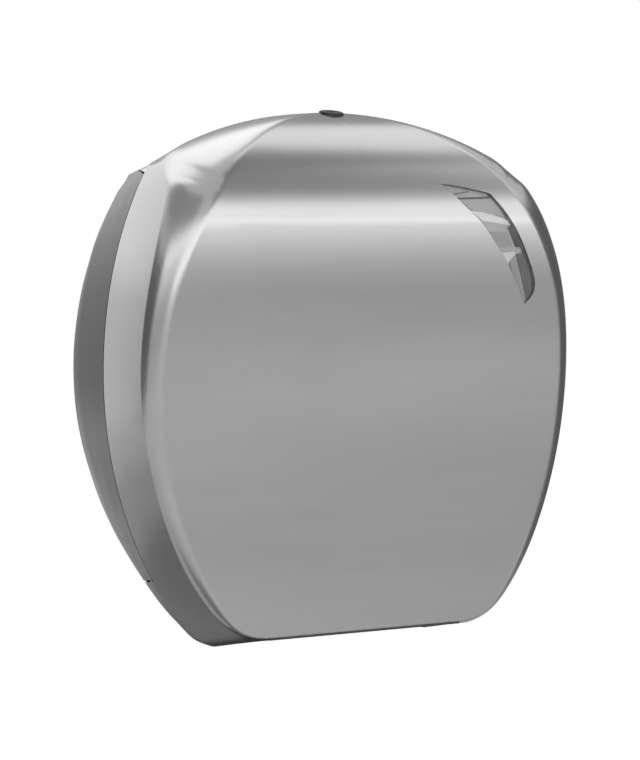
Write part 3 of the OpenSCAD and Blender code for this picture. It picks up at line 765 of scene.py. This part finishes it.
def paint_light_to_foot(m, low, high, stops):
    """Replaces a metal's tone by painted light: greys over the object's height, between two
    heights in metres."""
    t = m.node_tree
    z = node(t, "ShaderNodeSeparateXYZ", links=[(0, object_place(t))]).outputs["Z"]
    share = node(t, "ShaderNodeMapRange", [("From Min", low), ("From Max", high)],
                 [("Value", z)]).outputs[0]
    g = next(n for n in t.nodes if n.type == "GROUP")
    mottle = ramp(t, g.outputs["Tone"], [(0.3, 0.95), (0.7, 1.0)])
    t.links.new(mix(t, ramp(t, share, stops, "EASE"), mottle, 1.0, "MULTIPLY"),
                t.nodes["Principled BSDF"].inputs["Base Color"])


def plastic(name, tone, rough=0.5, speck=0.06, uneven=0.06):
    """Moulded plastic: fine spark-eroded texture and a faint uneven tone."""
    m, t, shader = new_material(name)
    at = object_place(t)
    fine, broad = noise(t, at, 900.0, 3.0), noise(t, at, 18.0, 4.0)
    tones = ramp(t, broad, [(0.3, shade(tone, 1 - uneven)), (0.7, shade(tone, 1 + uneven))])
    t.links.new(tones, shader.inputs["Base Color"])
    dull = ramp(t, fine, [(0.3, rough - 0.05), (0.7, rough + 0.07)])
    t.links.new(dull, shader.inputs["Roughness"])
    bump(t, shader, fine, speck, 0.0002)
    return m


def smoked(name):
    """Clear smoked plastic with a polished, faintly wavy surface."""
    m, t, shader = new_material(name)
    wave = noise(t, object_place(t), 30.0, 2.0)
    tint = ramp(t, wave, [(0.3, (0.93, 0.94, 0.95, 1)), (0.7, (0.97, 0.97, 0.98, 1))])
    t.links.new(tint, shader.inputs["Base Color"])
    bump(t, shader, wave, 0.05, 0.0005)
    for key, value in (("Transmission Weight", 1.0), ("Roughness", 0.03), ("IOR", 1.45)):
        shader.inputs[key].default_value = value
    return m


# Painted light on the side panels: greys over their height, from foot to crown, as the photo
# shows them, lighter towards the foot
SIDE_LOW, SIDE_HIGH = -0.135, 0.145
SIDE_PAINTED_LIGHT = [(0.0, 0.42), (0.12, 0.34), (0.3, 0.16), (0.5, 0.05), (0.8, 0.055), (1.0, 0.07)]

M_COVER = metal("titanium_finish", grey(0.385), 0.26, 0.35)
# Dark titanium for the side panels; its tone is then replaced by painted light that grows
# lighter towards the foot
M_SIDE = metal("titanium_dark_painted_light", grey(0.08), 0.33, 0.35)
paint_light_to_foot(M_SIDE, SIDE_LOW, SIDE_HIGH, SIDE_PAINTED_LIGHT)
M_STEEL = metal("steel_bright", (0.55, 0.55, 0.54), 0.28, 0.5)
M_TRAY = plastic("tray_grey", grey(0.5), uneven=0.03)
M_BLACK = plastic("black_plastic", grey(0.018), 0.42)
M_PANE = smoked("smoked_pane")


def dress(obj, material):
    """Gives the whole object one material."""
    obj.data.materials.clear()
    obj.data.materials.append(material)
    obj.data.polygons.foreach_set("material_index", np.zeros(len(obj.data.polygons), np.int32))


for obj in [cover] + ears:
    dress(obj, M_COVER)
for obj in panels:
    dress(obj, M_SIDE)
dress(pane, M_PANE)
dress(hem, M_BLACK)
# Greys of the insert's pieces, all painted light and shade: the near-white ledge and wedge are a
# painted reflection of the bright cards, the near-black pocket, long piece, groove and edge
# strip are painted shade in the recesses, and the other greys are lit and shaded faces of one
# plastic
INSERT_PAINTED_LIGHT = {"back": 0.62, "upper": 0.48, "highlight_ledge": 0.97, "left": 0.44, "highlight_wedge": 0.95,
               "side": 0.42, "shaded_pocket": 0.01, "long": 0.13, "groove": 0.1, "line": 0.2,
               "cells": 0.36, "edge": 0.02}
for name, tone in INSERT_PAINTED_LIGHT.items():
    dress(insert[name], plastic("insert_" + name, grey(tone), 0.4))
NODE_LOOKS = {"back_tray": M_TRAY, "spindle_post": M_TRAY, "core_sleeve": M_TRAY,
              "sleeve_cap": M_TRAY, "spindle_screws": M_STEEL, "friction_washer": M_BLACK,
              "core_adapter": M_BLACK, "cap_screw": M_STEEL, "hinge_pin_left": M_STEEL,
              "hinge_pin_right": M_STEEL, "window_clips": M_STEEL, "tear_frame": M_BLACK,
              "lock_barrel": M_BLACK, "lock_nut": M_STEEL, "lock_plug": M_BLACK,
              "lock_cam": M_STEEL, "cam_washer": M_STEEL, "cam_screw": M_STEEL}
for name, material in NODE_LOOKS.items():
    dress(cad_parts[name], material)

# %% [markdown]
# ## 7. Camera, studio cards and floor
#
# The camera stands about 1.6 m away to the left, slightly above the middle.
# Big soft cards light the metal: each is seen only in reflections.

# %%
# The camera's turn, tilt and roll, what it looks at and from how many metres
PSI, PHI, RHO = radians(26.18), radians(2.95), radians(-0.66)
TARGET, DISTANCE = Vector((0, -65, 172.5 - AXIS_H)) * MM, 1.631

# The photo's size, its optical centre and the focal length, in its pixels
PHOTO_W, PHOTO_H, FOCAL_PX, CENTRE_PX = 640, 760, 2400, (321.7, 366.7)
SENSOR = 36

look = Vector((sin(PSI) * cos(PHI), cos(PSI) * cos(PHI), -sin(PHI)))
level_right = Vector((cos(PSI), -sin(PSI), 0))
level_up = level_right.cross(look)
right = level_right * cos(RHO) + level_up * sin(RHO)
up = -level_right * sin(RHO) + level_up * cos(RHO)

scene = bpy.context.scene
cam_data = bpy.data.cameras.new("camera")
cam = bpy.data.objects.new("camera", cam_data)
scene.collection.objects.link(cam)
basis = Matrix((right, up, -look)).transposed().to_4x4()
cam.matrix_world = Matrix.Translation(TARGET - look * DISTANCE) @ basis
cam_data.lens = FOCAL_PX * SENSOR / PHOTO_H
cam_data.sensor_width = SENSOR
cam_data.sensor_fit = "AUTO"
cam_data.shift_x = -(CENTRE_PX[0] - PHOTO_W / 2) / PHOTO_H
cam_data.shift_y = (CENTRE_PX[1] - PHOTO_H / 2) / PHOTO_H
cam_data.clip_start, cam_data.clip_end = 0.05, 60
scene.camera = cam

# %% [markdown]
# Each card has its azimuths and elevations in degrees, its level and its distance in metres.
# Bright cards give the highlights. The darker ones keep the pale surround out of the
# reflections between them. The lowest stand closer, so that they clear the floor.

# %%
MIDDLE = (0, -0.07, 0.0)
FAR, LOW = 1.9, 0.78


def glow(name, level):
    """Material that only gives off a plain grey light."""
    m, t, shader = new_material(name)
    t.nodes.remove(shader)
    light = node(t, "ShaderNodeEmission", [("Color", shade(grey(level))), ("Strength", 1.0)])
    t.links.new(light.outputs[0], t.nodes["Material Output"].inputs["Surface"])
    return m


def card(name, azimuth, elevation, level, distance):
    """A curved panel around the object between two azimuths and two elevations, seen only
    in reflections. Azimuth 0 is in front and 90 to the viewer's right.

    p = middle + distance (sin a cos e, -cos a cos e, sin e)
    """
    a, e = np.meshgrid(np.radians(np.linspace(*azimuth, 13)),
                       np.radians(np.linspace(*elevation, 9)), indexing="ij")
    out = np.stack([np.sin(a) * np.cos(e), -np.cos(a) * np.cos(e), np.sin(e)], -1)
    pts = out.reshape(-1, 3) * distance + MIDDLE
    mesh = bpy.data.meshes.new(name)
    mesh.from_pydata(pts.tolist(), [], grid_faces(13, 9, wrap=False).tolist())
    mesh.materials.append(glow(name, level))
    obj = bpy.data.objects.new(name, mesh)
    scene.collection.objects.link(obj)
    obj.visible_camera = False
    obj.visible_transmission = False


CARDS = [
    ("key", (-30, 44), (1, 14), 1.5, FAR),
    ("key_strip", (-30, 44), (4.5, 11), 3.1, 1.85),
    ("key_top", (-30, 44), (14, 28), 2.2, FAR),
    ("gap_below_key", (0, 60), (-12, -2), 0.55, FAR),
    ("key_right_end", (44, 60), (-2, 14), 0.3, FAR),
    ("front_left_low", (-76, -30), (-10, 8), 0.7, FAR),
    ("front_left", (-76, -30), (8, 20), 1.25, FAR),
    ("front_left_high", (-84, -30), (20, 29), 2.3, FAR),
    ("flag_shoulder", (-142, -32), (33, 60), 0.5, FAR),
    ("flag_above", (0, 44), (34, 54), 0.45, FAR),
    ("flag_high", (0, 66), (54, 80), 0.36, FAR),
    ("top_right", (72, 132), (52, 86), 1.8, FAR),
    ("right_high", (46, 80), (28, 54), 1.3, FAR),
    ("rear_left", (-186, -144), (10, 36), 1.45, FAR),
    ("rear_left_high", (-204, -144), (36, 75), 2.2, FAR),
    ("flag_left", (-138, -80), (-10, 24), 0.2, FAR),
    ("flag_right", (60, 142), (-45, 28), 0.2, FAR),
    ("behind", (142, 174), (-30, 34), 0.35, FAR),
    ("behind_high", (132, 154), (34, 58), 0.5, FAR),
    ("flank_low", (-181, -124), (-17, -9), 0.75, FAR),
    ("flag_low_left", (-181, -110), (-28, -17), 0.5, LOW),
    ("flag_lowest_left", (-181, -110), (-70, -28), 0.26, LOW),
    ("flag_low_behind", (140, 178), (-70, -26), 0.05, LOW),
    ("flag_low_front_left", (-60, 0), (-60, -34), 0.3, 0.8),
    ("flag_below", (-180, 180), (-89, -66), 0.08, 0.7),
]
for row in CARDS:
    card(*row)

# %% [markdown]
# A round pale floor lies well below, and the world is a plain pale surround.

# %%
FLOOR_Z, FLOOR_R, FLOOR_SIDES, SURROUND = -0.75, 2.0, 96, 0.85
rim = np.linspace(0, 2 * pi, FLOOR_SIDES, endpoint=False)
rim_points = np.c_[FLOOR_R * np.cos(rim), FLOOR_R * np.sin(rim), np.full(FLOOR_SIDES, FLOOR_Z)]
floor_mesh = bpy.data.meshes.new("floor")
floor_mesh.from_pydata(rim_points.tolist(), [], [list(range(FLOOR_SIDES))])
floor_mesh.materials.append(plastic("pale_floor", grey(0.82), 0.7, 0.02, 0.005))
floor = bpy.data.objects.new("floor", floor_mesh)
scene.collection.objects.link(floor)

world = bpy.data.worlds.new("studio")
scene.world = world
world.use_nodes = True
wt = world.node_tree
path = node(wt, "ShaderNodeLightPath")
seen = path.outputs["Is Camera Ray"]
for kind in ("Is Glossy Ray", "Is Transmission Ray"):
    seen = node(wt, "ShaderNodeMath", operation="MAXIMUM",
                links=[(0, seen), (1, path.outputs[kind])]).outputs[0]
surround = mix(wt, shade(grey(SURROUND)), shade(grey(1)), seen)
wt.links.new(surround, wt.nodes["Background"].inputs["Color"])
wt.nodes["Background"].inputs["Strength"].default_value = 1.0

scene.view_settings.view_transform = "Standard"
